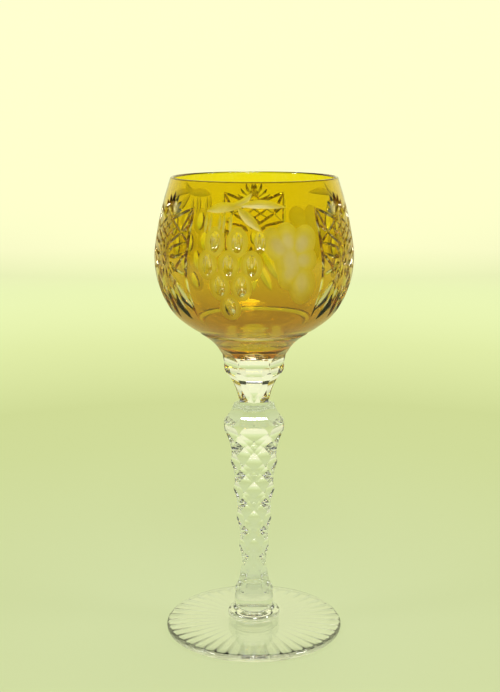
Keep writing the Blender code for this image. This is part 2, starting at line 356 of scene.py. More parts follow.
def dish(place, size, depth, slot, turn=0.0, flatness=2, sides=DISH_SIDES):
    """A hollow ground into the bowl with a round-edged wheel: an oval of a size (across, up),
    turned clockwise in degrees. flatness over 2 gives it a flatter floor."""
    lean = math.radians(turn)

    def at(reach, step, out):
        angle = math.tau * step / sides
        x, y = size[0] / 2 * reach * math.sin(angle), size[1] / 2 * reach * math.cos(angle)
        across = x * math.cos(lean) + y * math.sin(lean)
        up = y * math.cos(lean) - x * math.sin(lean)
        return SKIN.spot(*SKIN.shifted(place, across, up), out)

    shape = bmesh.new()
    floor = shape.verts.new(at(0, 0, -depth))
    cover = shape.verts.new(at(0, 0, CLEAR_OF_GLASS))
    floors, covers = [], []
    for ring in range(1, DISH_RINGS + 1):
        reach = DISH_EDGE * ring / DISH_RINGS
        down = depth * (1 - reach**flatness)
        floors.append([shape.verts.new(at(reach, step, -down)) for step in range(sides)])
        covers.append([shape.verts.new(at(reach, step, CLEAR_OF_GLASS)) for step in range(sides)])
    for centre, loops in ((floor, floors), (cover, covers)):
        for i in range(sides):
            shape.faces.new((centre, loops[0][i], loops[0][(i + 1) % sides]))
        for inner, outer in zip(loops, loops[1:]):
            bridge(shape, inner, outer)
    bridge(shape, floors[-1], covers[-1])
    bmesh.ops.recalc_face_normals(shape, faces=shape.faces)
    return in_slot(shape, slot)


def cone(segments, start_radius, end_radius, length, place):
    """A cone or cylinder that cuts, along Z before a matrix puts it in its place."""
    shape = bmesh.new()
    sizes = {"radius1": start_radius, "radius2": end_radius, "depth": length}
    bmesh.ops.create_cone(shape, cap_ends=True, segments=segments, matrix=place, **sizes)
    return in_slot(shape, CUT_SLOT)


def wheel(azimuth, flat, height, wheel_radius, lean=0.0):
    """A grinding wheel with its axle level and square to the azimuth. It bottoms out at a
    distance from the axis, flat, and at a height. A cut with a positive lean faces up."""
    half_segment = math.pi / WHEEL_SEGMENTS
    reach = wheel_radius * math.cos(half_segment)
    lean = math.radians(lean)
    centre = Vector((0, -flat - reach * math.cos(lean), height + reach * math.sin(lean)))
    place = Matrix.Rotation(math.radians(azimuth), 4, "Z") @ Matrix.Translation(centre)
    face_glass = Matrix.Rotation(-lean, 4, "X")
    lay_down = Matrix.Rotation(math.pi / 2, 4, "Y") @ Matrix.Rotation(half_segment, 4, "Z")
    place = place @ face_glass @ lay_down
    return cone(WHEEL_SEGMENTS, wheel_radius, wheel_radius, 2 * BOWL_RADIUS, place)


def tools_collection(name, shapes, materials):
    """Puts cutting shapes into a collection, as objects with the materials, and frees them."""
    tools = bpy.data.collections.new(name)
    bpy.context.scene.collection.children.link(tools)
    for shape in shapes:
        mesh = bpy.data.meshes.new(name)
        shape.to_mesh(mesh)
        shape.free()
        for material in materials:
            mesh.materials.append(material)
        tools.objects.link(bpy.data.objects.new(name, mesh))
    return tools


def remove_tools(tools):
    for tool in list(tools.objects):
        mesh = tool.data
        bpy.data.objects.remove(tool)
        bpy.data.meshes.remove(mesh)
    bpy.data.collections.remove(tools)


def cut_mesh(mesh, toolsets, name):
    """The mesh with every toolset's shapes taken away, as a new mesh."""
    thing = placed(name, mesh)
    for tools in toolsets:
        difference = thing.modifiers.new(tools.name, "BOOLEAN")
        difference.operation = "DIFFERENCE"
        difference.solver = "MANIFOLD"
        difference.material_mode = "TRANSFER"
        difference.operand_type = "COLLECTION"
        difference.collection = tools
    graph = bpy.context.evaluated_depsgraph_get()
    made = bpy.data.meshes.new_from_object(thing.evaluated_get(graph), depsgraph=graph)
    bpy.data.objects.remove(thing)
    remove_slivers(made)
    return made


def remove_slivers(mesh):
    """Takes out the faces too thin to have a direction, which cutting leaves along its edges."""
    clean = bmesh.new()
    clean.from_mesh(mesh)
    bmesh.ops.triangulate(clean, faces=clean.faces)
    bmesh.ops.dissolve_degenerate(clean, dist=SLIVER, edges=clean.edges)
    clean.to_mesh(mesh)
    clean.free()


def finished(name, mesh, outline, sharp):
    """An object from a mesh, with smooth faces between edges sharper than an angle in degrees."""
    mesh.name = name
    mesh.shade_smooth()
    mesh.set_sharp_from_angle(angle=math.radians(sharp))
    follow_outline(mesh, outline)
    return placed(name, mesh)


def read(items, attribute, kind=np.int32, width=1):
    """One attribute of a mesh's points, corners or faces, as an array."""
    values = np.empty(len(items) * width, kind)
    items.foreach_get(attribute, values)
    return values


def read_points(mesh):
    return read(mesh.vertices, "co", np.float32, 3).reshape(-1, 3)


def follow_outline(mesh, outline):
    """Gives the faces of the skin the normals of the outline that they were turned from."""
    x, y, height = read_points(mesh)[read(mesh.loops, "vertex_index")].T
    sizes = read(mesh.polygons, "loop_total")
    slots = read(mesh.polygons, "material_index")
    outward, upward = Skin(outline).direction(height)
    radii = np.maximum(np.hypot(x, y), SAME_POINT)
    normals = np.stack([x / radii * upward, y / radii * upward, -outward], axis=1)
    normals /= np.linalg.norm(normals, axis=1)[:, None]
    normals[np.repeat(slots, sizes) != SKIN_SLOT] = 0  # these keep their own
    mesh.normals_split_custom_set(normals)


# -------- materials


class Nodes:
    """A new material's node tree, with short ways to add and link nodes."""

    def __init__(self, name):
        self.material = bpy.data.materials.new(name)
        self.material.use_nodes = True
        self.tree = self.material.node_tree
        self.tree.nodes.clear()
        self.output = self.add("ShaderNodeOutputMaterial")

    def add(self, kind, **settings):
        node = self.tree.nodes.new(kind)
        for key, value in settings.items():
            setattr(node, key, value)
        return node

    def link(self, start, end):
        self.tree.links.new(start, end)

    def mixed(self, share, low, high):
        """One colour where share is 0 and another where it is 1."""
        mix = self.add("ShaderNodeMix", data_type="RGBA")
        # By number, because the sockets for other kinds of data have the same names
        factor, low_socket, high_socket = mix.inputs[0], mix.inputs[6], mix.inputs[7]
        self.link(share, factor)
        self.link(low, low_socket)
        self.link(high, high_socket)
        return mix.outputs[2]

    def times(self, colour, other):
        """Two colours multiplied."""
        product = self.add("ShaderNodeVectorMath", operation="MULTIPLY")
        self.link(colour, product.inputs[0])
        self.link(other, product.inputs[1])
        return product.outputs[0]

    def noise(self, scale, detail=3):
        """Noise from 0 to 1 through the solid, its scale in bumps to the metre."""
        coordinates = self.add("ShaderNodeTexCoord")
        noise = self.add("ShaderNodeTexNoise")
        noise.inputs["Scale"].default_value = scale
        noise.inputs["Detail"].default_value = detail
        self.link(coordinates.outputs["Object"], noise.inputs["Vector"])
        return noise.outputs["Fac"]

    def height_share(self, low, high):
        """0 at one height and 1 at another."""
        coordinates = self.add("ShaderNodeTexCoord")
        split = self.add("ShaderNodeSeparateXYZ")
        share = self.add("ShaderNodeMapRange")
        share.inputs["From Min"].default_value = low
        share.inputs["From Max"].default_value = high
        self.link(coordinates.outputs["Object"], split.inputs[0])
        self.link(split.outputs["Z"], share.inputs["Value"])
        return share.outputs["Result"]

    def smooth_share(self, value, start, end):
        """0 where a value is at its start and 1 at its end, with soft ends."""
        share = self.add("ShaderNodeMapRange", interpolation_type="SMOOTHSTEP")
        share.inputs["From Min"].default_value = start
        share.inputs["From Max"].default_value = end
        self.link(value, share.inputs["Value"])
        return share.outputs["Result"]

    def ramp(self, value, stops):
        """A colour ramp with (place, linear colour) stops."""
        ramp = self.add("ShaderNodeValToRGB")
        elements = ramp.color_ramp.elements
        while len(elements) < len(stops):
            elements.new(0.5)
        for element, (place, colour) in zip(elements, stops):
            element.position = place
            element.color = (*colour, 1)
        self.link(value, ramp.inputs["Fac"])
        return ramp.outputs["Color"]

    def between(self, value, low, high):
        """Low where a value is 0 and high where it is 1."""
        span = self.add("ShaderNodeMapRange")
        span.inputs["To Min"].default_value = low
        span.inputs["To Max"].default_value = high
        self.link(value, span.inputs["Value"])
        return span.outputs["Result"]

    def bump(self, value, distance):
        bump = self.add("ShaderNodeBump")
        bump.inputs["Strength"].default_value = 1
        bump.inputs["Distance"].default_value = distance
        self.link(value, bump.inputs["Height"])
        return bump.outputs["Normal"]


LEAD_GLASS = 1.54
WHITE = (1, 1, 1)
# Noise in the glass, in bumps to the metre, and how high the bumps stand
CLOUDS = 40
STREAKS = 70
WAVES = 180
WAVE_HEIGHT = 0.004 * MM
CUT_WAVE_HEIGHT = 0.006 * MM
GROUND_CLOUDS = 230
GRAINS = 5000
GRAIN_HEIGHT = 0.008 * MM
GROUND_ROUGHNESS = (0.32, 0.48)
GROUND_TRANSMISSION = 0.8
GROUND_COLOURS = [(0.3, (0.76, 0.70, 0.40)), (0.7, (0.88, 0.84, 0.56))]
STREAK_COLOURS = [(0.25, (0.95, 0.92, 0.9)), (0.75, WHITE)]
CLOUD_SHADE = 0.985


def glass_shader(nodes, roughness=0.0):
    shader = nodes.add("ShaderNodeBsdfPrincipled")
    shader.inputs["IOR"].default_value = LEAD_GLASS
    shader.inputs["Transmission Weight"].default_value = 1
    shader.inputs["Roughness"].default_value = roughness
    nodes.link(shader.outputs["BSDF"], nodes.output.inputs["Surface"])
    return shader


def polished_glass(name, tint=WHITE, wave=WAVE_HEIGHT):
    """Fire-polished or acid-polished glass: clear, with the faint waves of hand work."""
    nodes = Nodes(name)
    shader = glass_shader(nodes)
    clouds = [(0.3, tuple(CLOUD_SHADE * c for c in tint)), (0.7, tint)]
    nodes.link(nodes.ramp(nodes.noise(CLOUDS), clouds), shader.inputs["Base Color"])
    nodes.link(nodes.bump(nodes.noise(WAVES), wave), shader.inputs["Normal"])
    return nodes.material


# What the amber skin leaves of red, green and blue light that crosses it once: at its surface, by
# height, and again under it, so that light thrown back by the surface turns red-brown
AMBER_TINTS = [
    (133 * MM, (0.82, 0.57, 0.016)),
    (158 * MM, (0.94, 0.82, 0.019)),
    (186 * MM, (1.00, 0.96, 0.021)),
]
AMBER_UNDERSIDE = (0.89, 0.79, 0.66)
COVER = "cover"  # a point attribute: the share of the skin's thickness that lies under the point
COVER_STOPS = (0, 0.2, 0.4, 0.7, 1)


def amber_tint(nodes):
    """The colour of amber as deep as the cover says, squared because the shader takes the square
    root of a colour each time that light crosses it."""
    (low, deep), (middle, medium), (high, light) = AMBER_TINTS
    cover = nodes.add("ShaderNodeAttribute", attribute_name=COVER).outputs["Fac"]
    shades = []
    for tint in (deep, medium, light):
        stops = [(share, tuple(c ** (2 * share) for c in tint)) for share in COVER_STOPS]
        shades.append(nodes.ramp(cover, stops))
    lower = nodes.mixed(nodes.height_share(low, middle), *shades[:2])
    return nodes.mixed(nodes.height_share(middle, high), lower, shades[2])


def amber_glass():
    """The outside of the amber skin, with faint streaks from its making."""
    nodes = Nodes("amber_skin")
    shader = glass_shader(nodes)
    streaks = nodes.ramp(nodes.noise(STREAKS), STREAK_COLOURS)
    nodes.link(nodes.times(amber_tint(nodes), streaks), shader.inputs["Base Color"])
    nodes.link(nodes.bump(nodes.noise(WAVES), WAVE_HEIGHT), shader.inputs["Normal"])
    return nodes.material


def cut_amber_glass():
    """The side of a polished cut through the amber skin."""
    nodes = Nodes("amber_cut_edge")
    shader = glass_shader(nodes)
    nodes.link(amber_tint(nodes), shader.inputs["Base Color"])
    return nodes.material


def seam(name, tint=WHITE):
    """Where two pieces are fused: light goes straight through."""
    nodes = Nodes(name)
    shader = nodes.add("ShaderNodeBsdfTransparent")
    shader.inputs["Color"].default_value = (*tint, 1)
    nodes.link(shader.outputs["BSDF"], nodes.output.inputs["Surface"])
    return nodes.material


def ground_glass(name, under_amber=False):
    """Glass left as the fine stone ground it: soft, whitish and half see-through."""
    nodes = Nodes(name)
    shader = glass_shader(nodes, sum(GROUND_ROUGHNESS) / 2)
    shader.inputs["Transmission Weight"].default_value = GROUND_TRANSMISSION
    cloud = nodes.noise(GROUND_CLOUDS, detail=4)
    colour = nodes.ramp(cloud, GROUND_COLOURS)
    if under_amber:
        colour = nodes.times(colour, amber_tint(nodes))
    nodes.link(colour, shader.inputs["Base Color"])
    nodes.link(nodes.between(cloud, *GROUND_ROUGHNESS), shader.inputs["Roughness"])
    nodes.link(nodes.bump(nodes.noise(GRAINS, detail=2), GRAIN_HEIGHT), shader.inputs["Normal"])
    return nodes.material


# Each piece has its materials in this order. No two are the same one, because the Boolean
# modifier would run them together.
SKIN_SLOT, INSIDE_SLOT, CUT_SLOT, MATT_SLOT, SEAM_SLOT = range(5)
CLEAR = polished_glass("polished_crystal", (0.965, 0.97, 1))
INNER = polished_glass("crystal_inside")
CUT = polished_glass("cut_facets", (0.93, 0.945, 1), CUT_WAVE_HEIGHT)
GROUND = ground_glass("ground_glass")
SEAM = seam("seam")
SOLID_LOOKS = [CLEAR, INNER, CUT, GROUND, SEAM]
# Painted amber-brown shade: light thrown about in a cut in the bowl has been through the amber before
# it comes out
BOWL_CUT_PAINTED_SHADE = polished_glass("bowl_cut_facets_painted_shade", (0.86, 0.74, 0.46), CUT_WAVE_HEIGHT)
BOWL_LOOKS = [seam("amber_seam"), INNER, BOWL_CUT_PAINTED_SHADE, GROUND, SEAM]
CASING_LOOKS = [
    amber_glass(),
    seam("skin_inside", AMBER_UNDERSIDE),
    cut_amber_glass(),
    ground_glass("ground_amber", under_amber=True),
    SEAM,
]


# -------- the pattern on the bowl

REPEATS = 3  # of a panel with grapes and a leaf, and a column of cuts
COLUMN_AZIMUTH = 60  # from the panel's middle to the column's

# Grapes: height of the row, and each grape's azimuth
GRAPE_ROWS = [
    (177.0 * MM, (-22.5, -9.5, 3.0)),
    (168.0 * MM, (-26.3, -14.3, -1.5)),
    (159.5 * MM, (-19.4, -7.3)),
    (150.8 * MM, (-14.2,)),
]
CLEAR_GRAPE = 3.0  # the azimuth of the grape that is left as a clear lens
GRAPE = (8.7 * MM, 12.2 * MM)  # across, up
GRAPE_DEPTH = 0.44 * MM
LENS = (5.0 * MM, 9.0 * MM)
LENS_DEPTH = 1.7 * MM


def grape_tools(centre):
    tools = []
    for height, azimuths in GRAPE_ROWS:
        for azimuth in azimuths:
            place = (centre + azimuth, height)
            if azimuth != CLEAR_GRAPE:
                tools.append(dish(place, GRAPE, GRAPE_DEPTH, MATT_SLOT))
            tools.append(dish(place, LENS, LENS_DEPTH, CUT_SLOT))
    return tools


# A vine leaf: overlapping hollows, one for each lobe, as the lobe's middle from the leaf's own,
# its width and length, all in mm, and its lean in degrees
LEAF_CENTRE = (21.0, 168.0 * MM)
LEAF_LOBES = [
    (-0.6, 1.0, 14.0, 25.0, -14),
    (-5.4, 7.4, 11.5, 17.0, -40),
    (-1.6, 9.2, 10.5, 15.5, -8),
    (4.4, 8.2, 11.5, 16.0, 32),
    (4.6, 1.6, 11.5, 12.5, 80),
    (4.2, -7.6, 12.0, 18.5, -10),
    (-1.0, -2.8, 10.5, 14.5, 14),
]
LEAF_DEPTH = 0.43 * MM
LEAF_FLATNESS = 2.6
LEAF_SIDES = 40


def leaf_tools(centre):
    azimuth, height = LEAF_CENTRE
    middle = (centre + azimuth, height)
    tools = []
    for across, up, width, length, lean in LEAF_LOBES:
        place = SKIN.shifted(middle, across * MM, up * MM)
        size = (width * MM, length * MM)
        tools.append(dish(place, size, LEAF_DEPTH, MATT_SLOT, lean, LEAF_FLATNESS, LEAF_SIDES))
    return tools


# Strokes over the grapes, in mm: width, depth, and the azimuths and heights they run through
VINE_STROKES = [
    (4.2, 0.36, (-30, 188.6), (-19, 190.2), (-6, 190.8)),  # the stalk
    (3.6, 0.32, (-12, 190.9), (4, 191.6), (20, 190.2)),
    (2.6, 0.32, (-17, 190.2), (-7, 192.4), (-1, 196.2)),
    (4.2, 0.36, (-10.5, 190.6), (-3.5, 186), (4.8, 180.6)),  # a leaf tip hanging from it
]
TENDRIL_AZIMUTHS = (-28.5, -25.8, -20, -17.5, -13.5)
TENDRIL = (1.7, 0.38)  # width, depth
TENDRIL_HEIGHTS = (188.5, 180.0)
TENDRIL_LEAN = -0.4


def vine_tools(centre):
    """The stalk over the grapes, a leaf tip hanging from it, and the tendrils."""
    strokes = list(VINE_STROKES)
    start, end = TENDRIL_HEIGHTS
    for azimuth in TENDRIL_AZIMUTHS:
        strokes.append((*TENDRIL, (azimuth, start), (azimuth + TENDRIL_LEAN, end)))
    tools = []
    for width, depth, *places in strokes:
        path = [(centre + azimuth, height * MM) for azimuth, height in places]
        tools.append(groove(path, width * MM, depth * MM, MATT_SLOT, SOFT_SECTION))
    return tools


# Cuts of a column, in mm. A line is its width and depth, and the places it runs through, as the
# distance across from the column's middle and the height. Each is cut on both sides.
BORDER = (1.5, 0.8, (14.2, 190.5), (14.4, 178), (14.2, 163), (13.0, 145))
DIAMOND_TOP = 185.8
DIAMOND_TIP = (9.8, 179.6)
DIAMOND_LINES = [
    (1.3, 0.8, (14.0, 189.5), (0.6, 183.6)),
    (1.2, 0.75, (13.8, 189.0), (9.4, 180.0)),
    (1.3, 0.8, (0.2, DIAMOND_TOP), DIAMOND_TIP),
    (1.3, 0.8, DIAMOND_TIP, (0.2, 173.2)),
]
DIAMOND_SIDE = (9.6, 6.2)  # across and down, from the top to the tip
HATCH_SHARES = (0.33, 0.67)  # where the lines inside the diamond start, along its upper side
HATCH_REACH = (9.6, 6.4)  # how far they run, across and down
HATCH = (1.0, 0.6)  # width, depth
TIP_LINES = [
    (1.1, 0.7, DIAMOND_TIP, (14.2, 176.0)),
    (1.1, 0.7, DIAMOND_TIP, (14.2, 183.5)),
]
LOWER_LINES = [
    (1.3, 0.8, (4.5, 173.5), (14.0, 176.0)),
    (1.3, 0.8, (5.5, 169.0), (14.2, 172.0)),
    (1.5, 0.9, (5.0, 165.5), (14.2, 163.0)),
    (1.3, 0.8, (14.2, 172.0), (6.0, 163.0)),
]
LEAF_CUTS = [
    (6.4, 1.35, (2.4, 164.5), (13.6, 148.0)),
    (5.2, 1.35, (1.2, 158.0), (8.8, 143.5)),
]
MIDDLE_LEAF = (4.0, 1.3, (0, 156.5), (0, 143.0))
FAN_HEIGHT = 185.2
FAN_DIRECTIONS = (-66, -44, -22, 0, 22, 44, 66)
FAN_PETAL = (1.6, 8.6, 2.7, 1.15)  # start, length, width, depth
FAN_TAPER = 1 / 40  # how much shorter a petal is for each degree that it leans
EYE_HEIGHT = 168.3
EYE = (3.6 * MM, 6.0 * MM)
EYE_DEPTH = 1.2 * MM
RAY = (3.9, 4.3, 1.7, 0.9)  # start, length, width, depth
RAY_DIRECTIONS = range(15, 360, 30)


def column_tools(centre):
    """A fan over a hatched diamond, an eye with rays under it, and leaf cuts at the bottom."""

    def place(across, height):
        return SKIN.shifted((centre, height * MM), across * MM, 0)

    def line(width, depth, *spots, blunt=6):
        path = [place(*spot) for spot in spots]
        return groove(path, width * MM, depth * MM, CUT_SLOT, blunt=blunt)

    def mirrored(width, depth, *spots, blunt=6):
        other = [(-across, height) for across, height in spots]
        return [line(width, depth, *spots, blunt=blunt), line(width, depth, *other, blunt=blunt)]

    def spoke(start, length, width, depth, direction, middle):
        angle = math.radians(direction)
        step = (math.sin(angle), math.cos(angle))
        ends = [(step[0] * far, middle + step[1] * far) for far in (start, start + length)]
        return line(width, depth, *ends, blunt=2)

    tools = mirrored(*BORDER, blunt=8)
    start, length, *section = FAN_PETAL
    for direction in FAN_DIRECTIONS:
        reach = length - abs(direction) * FAN_TAPER
        tools.append(spoke(start, reach, *section, direction, FAN_HEIGHT))
    for cut in DIAMOND_LINES:
        tools += mirrored(*cut)
    for share in HATCH_SHARES:
        across, height = DIAMOND_SIDE[0] * share, DIAMOND_TOP - DIAMOND_SIDE[1] * share
        end = (across - HATCH_REACH[0], height - HATCH_REACH[1])
        tools += mirrored(*HATCH, (across, height), end, blunt=4)
    for cut in TIP_LINES:
        tools += mirrored(*cut)
    tools.append(dish(place(0, EYE_HEIGHT), EYE, EYE_DEPTH, CUT_SLOT))
    for direction in RAY_DIRECTIONS:
        tools.append(spoke(*RAY, direction, EYE_HEIGHT))
    for cut in LOWER_LINES:
        tools += mirrored(*cut)
    for cut in LEAF_CUTS:
        tools += mirrored(*cut, blunt=2)
    tools.append(line(*MIDDLE_LEAF, blunt=2))
    return tools


BASE_RING_HEIGHT = 135.3 * MM  # a clear ring cut round the bottom of the bowl
BASE_RING_WIDTH = 3.8 * MM
BASE_RING_DEPTH = 0.75 * MM
BASE_RING_STEPS = 72  # round the section of the ring that cuts it


def base_ring():
    edge_radius = (BASE_RING_WIDTH**2 / 4 + BASE_RING_DEPTH**2) / (2 * BASE_RING_DEPTH)
    centre = SKIN.spot(0, BASE_RING_HEIGHT, edge_radius - BASE_RING_DEPTH)
    section = []
    for turn in np.linspace(0, -math.tau, BASE_RING_STEPS + 1):
        out, up = edge_radius * math.cos(turn), edge_radius * math.sin(turn)
        section.append((-centre.y + out, centre.z + up))
    mesh = turned_mesh("base_ring", [(section, CUT_SLOT)])
    shape = bmesh.new()
    shape.from_mesh(mesh)
    bpy.data.meshes.remove(mesh)
    return shape


def pattern_tools():
    shapes = [base_ring()]
    for i in range(REPEATS):
        centre = 360 / REPEATS * i
        shapes += grape_tools(centre) + leaf_tools(centre) + vine_tools(centre)
        shapes += column_tools(centre + COLUMN_AZIMUTH)
    return shapes


# -------- wheel cuts on the neck and stem

SIDES = 6
SIDE = 360 / SIDES
KNOP_FLATS = (11.2 * MM, 120 * MM, 9 * MM)  # distance from the axis, height, wheel radius
WAIST_FLATS = (7.15 * MM, 106 * MM, 15 * MM)
SHOULDER_WHEEL = 30 * MM
UPPER_SHOULDER = (10.6 * MM, 115 * MM, -33)  # distance, height, lean in degrees
LOWER_SHOULDER = (10.4 * MM, 100 * MM, 35)
LATTICE_COLUMNS = 12  # of hollows round the stem, every second one half a pitch lower
LATTICE_PITCH = 13 * MM
LATTICE_TOP = 90 * MM
LATTICE_BOTTOM = 24 * MM
LATTICE_WHEEL = 16 * MM
LATTICE_RIDGE = 0.975  # how far out the ridges between the hollows come, as a share of the radius
HOBNAIL_AZIMUTHS = (60, 180, 300)
HOBNAIL_MIDDLE = 92 * MM
HOBNAIL_SIZE = (9.5 * MM, 17 * MM)  # across, up
HOBNAIL_PITCH = 2.3 * MM
HOBNAIL_CUT = (1.5 * MM, 0.7 * MM)  # width, depth


def wheel_ring(flat, height, wheel_radius, first_azimuth=0.0, lean=0.0):
    azimuths = [first_azimuth + SIDE * i for i in range(SIDES)]
    return [wheel(azimuth, flat, height, wheel_radius, lean) for azimuth in azimuths]


def shoulder_ring(shoulder):
    flat, height, lean = shoulder
    return wheel_ring(flat, height, SHOULDER_WHEEL, SIDE / 2, lean)


def stem_lattice(outline):
    """Hollows in a lattice of lozenges, each as deep as lets its ridges reach the outline."""
    surface = Skin(outline)
    half_pitch = LATTICE_PITCH / 2
    rise = LATTICE_WHEEL - math.sqrt(LATTICE_WHEEL**2 - half_pitch**2)
    shapes = []
    for column in range(LATTICE_COLUMNS):
        height = LATTICE_TOP - half_pitch * (column % 2)
        while height >= LATTICE_BOTTOM:
            flat = LATTICE_RIDGE * surface.radius(height) - rise
            outward, upward = surface.direction(height)
            lean = -math.degrees(math.atan2(outward, upward))
            azimuth = 360 / LATTICE_COLUMNS * column
            shapes.append(wheel(azimuth, flat, height, LATTICE_WHEEL, lean))
            height -= LATTICE_PITCH
    return shapes


def stem_hobnails(outline):
    """Panels of small points near the stem's top, from fine mitres that cross."""
    surface = Skin(outline)
    width, length = HOBNAIL_SIZE
    shapes = []
    for azimuth in HOBNAIL_AZIMUTHS:
        offset = -(width + length) / 2
        while offset <= (width + length) / 2:
            # A line at 45 degrees, across - up = offset, clipped to the panel
            low = max(-width / 2, offset - length / 2)
            high = min(width / 2, offset + length / 2)
            hands = (1, -1) if high - low > HOBNAIL_PITCH / 2 else ()
            for hand in hands:
                middle = (azimuth, HOBNAIL_MIDDLE)
                ends = [surface.shifted(middle, hand * x, x - offset) for x in (low, high)]
                shapes.append(groove(ends, *HOBNAIL_CUT, CUT_SLOT, blunt=8, steps=10, on=surface))
            offset += HOBNAIL_PITCH
    return shapes


# -------- the pieces

SHARP = 20  # degrees: facets that meet at more than this show an edge
TURNED_SHARP = 40  # the same on a piece without cuts
RIM_STEPS = 10
RIM_MARGIN = 0.1 * MM  # the least height between the rim's edge and the outline under it


def turned_piece(name, runs, looks):
    solid = turned_mesh(name, runs)
    for look in looks:
        solid.materials.append(look)
    return solid


def cut_piece(name, runs, cuts, looks, outline):
    """A turned piece with its cuts taken away. cuts is a list of lists of cutting shapes."""
    solid = turned_piece(name, runs, looks)
    toolsets = [tools_collection(name + "_cuts", shapes, looks) for shapes in cuts]
    made = cut_mesh(solid, toolsets, name)
    for tools in toolsets:
        remove_tools(tools)
    bpy.data.meshes.remove(solid)
    return finished(name, made, outline, SHARP)


def rim_arc(start_share, end_share):
    """Part of the rim's half ellipse, from 0 at its outer side to 1 at its inner side."""
    middle = RIM_RADIUS - RIM_WALL / 2
    arc = []
    for i in range(RIM_STEPS + 1):
        turn = math.pi * (start_share + (end_share - start_share) * i / RIM_STEPS)
        radius = middle + RIM_WALL / 2 * math.cos(turn)
        arc.append((radius, HEIGHT - RIM_ROUND + RIM_ROUND * math.sin(turn)))
    return arc


def rim_share(depth):
    """How far round the rim's arc a distance in from its outer side lies."""
    return math.acos(1 - 2 * depth / RIM_WALL) / math.pi


def under_skin(outside, depth, rim_point):
    """The outline at a depth in the bowl's wall, from the joint up to a point of the rim's arc."""
    outline = inset(outside, depth)
    outline[0] = (outline[0][0], outside[0][1])
    return [p for p in outline if p[1] < rim_point[1] - RIM_MARGIN] + [rim_point]


def bowl_cuts():
    return [pattern_tools(), wheel_ring(*KNOP_FLATS)]


def bowl_outside():
    outside = smooth_outline(BOWL_OUTSIDE)
    outside[0] = (NECK_TOP_RADIUS, NECK_JOINT + SEAM_GAP / 2)
    return outside


def make_bowl():
    """The clear bowl under the amber skin."""
    core_arc = rim_arc(rim_share(CASING + SEAM_GAP), 1)
    core = under_skin(bowl_outside(), CASING + SEAM_GAP, core_arc[0])
    runs = [
        ([*smooth_outline(BOWL_INSIDE), *reversed(core_arc)], INSIDE_SLOT),
        (list(reversed(core)), SKIN_SLOT),
        ([core[0], (0, core[0][1])], SEAM_SLOT),
    ]
    return cut_piece("bowl_crystal_fine", runs, bowl_cuts(), BOWL_LOOKS, core)


def make_casing():
    """The amber skin, from the rim's edge down to the joint with the neck."""
    outside = bowl_outside()
    arc = rim_arc(0, rim_share(CASING))
    lining = under_skin(outside, CASING, arc[-1])
    runs = [
        ([*reversed(arc), *reversed(outside)], SKIN_SLOT),
        ([outside[0], lining[0]], SEAM_SLOT),
        (lining, INSIDE_SLOT),
    ]
    casing = cut_piece("amber_casing_fine", runs, bowl_cuts(), CASING_LOOKS, outside)
    cover_points(casing.data, outside)
    return casing


def cover_points(mesh, outside):
    """Stores at each point of the casing how much of the skin's thickness lies under it."""
    surface = Skin(outside)
    x, y, height = read_points(mesh).T
    _, upward = surface.direction(height)
    depth = (np.interp(height, surface.heights, surface.radii) - np.hypot(x, y)) * upward
    share = np.clip(1 - depth / CASING, 0, 1)
    share[height > HEIGHT - RIM_ROUND] = 1  # the rim's edge shows the amber end on
    cover = mesh.attributes.new(COVER, "FLOAT", "POINT")
    cover.data.foreach_set("value", share.astype(np.float32))


def solid_runs(outside, low_joint, high_joint):
    """The runs of a solid piece, its ends flat, between two joints, and its fitted outline."""
    low, high = low_joint + SEAM_GAP / 2, high_joint - SEAM_GAP / 2
    outside = [(outside[0][0], low), *outside[1:-1], (outside[-1][0], high)]
    runs = [
        ([(0, high), outside[-1]], SEAM_SLOT),
        (list(reversed(outside)), SKIN_SLOT),
        ([outside[0], (0, low)], SEAM_SLOT),
    ]
    return runs, outside


def make_neck():
    runs, outside = solid_runs(smooth_outline(NECK_OUTSIDE), STEM_JOINT, NECK_JOINT)
    flats = wheel_ring(*KNOP_FLATS) + wheel_ring(*WAIST_FLATS) + shoulder_ring(UPPER_SHOULDER)
    return cut_piece("neck_knop_fine", runs, [flats], SOLID_LOOKS, outside)


def make_stem():
    runs, outside = solid_runs(smooth_outline(STEM_OUTSIDE), COLLAR_JOINT, STEM_JOINT)
    hollows = stem_lattice(outside) + wheel_ring(*WAIST_FLATS) + shoulder_ring(LOWER_SHOULDER)
    cuts = [hollows, stem_hobnails(outside)]
    return cut_piece("stem_fine", runs, cuts, SOLID_LOOKS, outside)


COLLAR_OUTSIDE = [  # a short barrel whose slight bulge gathers the light into a bright band
    (COLLAR_RADIUS - 0.9 * MM, RING_JOINT),
    (COLLAR_RADIUS - 0.25 * MM, RING_JOINT + 1.6 * MM),
    (COLLAR_RADIUS, (RING_JOINT + COLLAR_JOINT) / 2),
    (COLLAR_RADIUS - 0.25 * MM, COLLAR_JOINT - 1.6 * MM),
    (COLLAR_RADIUS - 0.9 * MM, COLLAR_JOINT),
]
RING_BULGE = 2.4 * MM
RING_STEPS = 32


def make_collar():
    runs, outside = solid_runs(smooth_outline(COLLAR_OUTSIDE), RING_JOINT, COLLAR_JOINT)
    name = "stem_base_collar_fine"
    return finished(name, turned_piece(name, runs, SOLID_LOOKS), outside, TURNED_SHARP)


def make_ring():
    middle, half = (RING_JOINT + FOOT_JOINT) / 2, (RING_JOINT - FOOT_JOINT) / 2
    outside = []
    for turn in np.linspace(-math.pi / 2, math.pi / 2, RING_STEPS + 1):
        radius = RING_RADIUS - RING_BULGE + RING_BULGE * math.cos(turn)
        outside.append((radius, middle + half * math.sin(turn)))
    runs, outside = solid_runs(outside, FOOT_JOINT, RING_JOINT)
    name = "merese_ring_fine"
    return finished(name, turned_piece(name, runs, SOLID_LOOKS), outside, TURNED_SHARP)


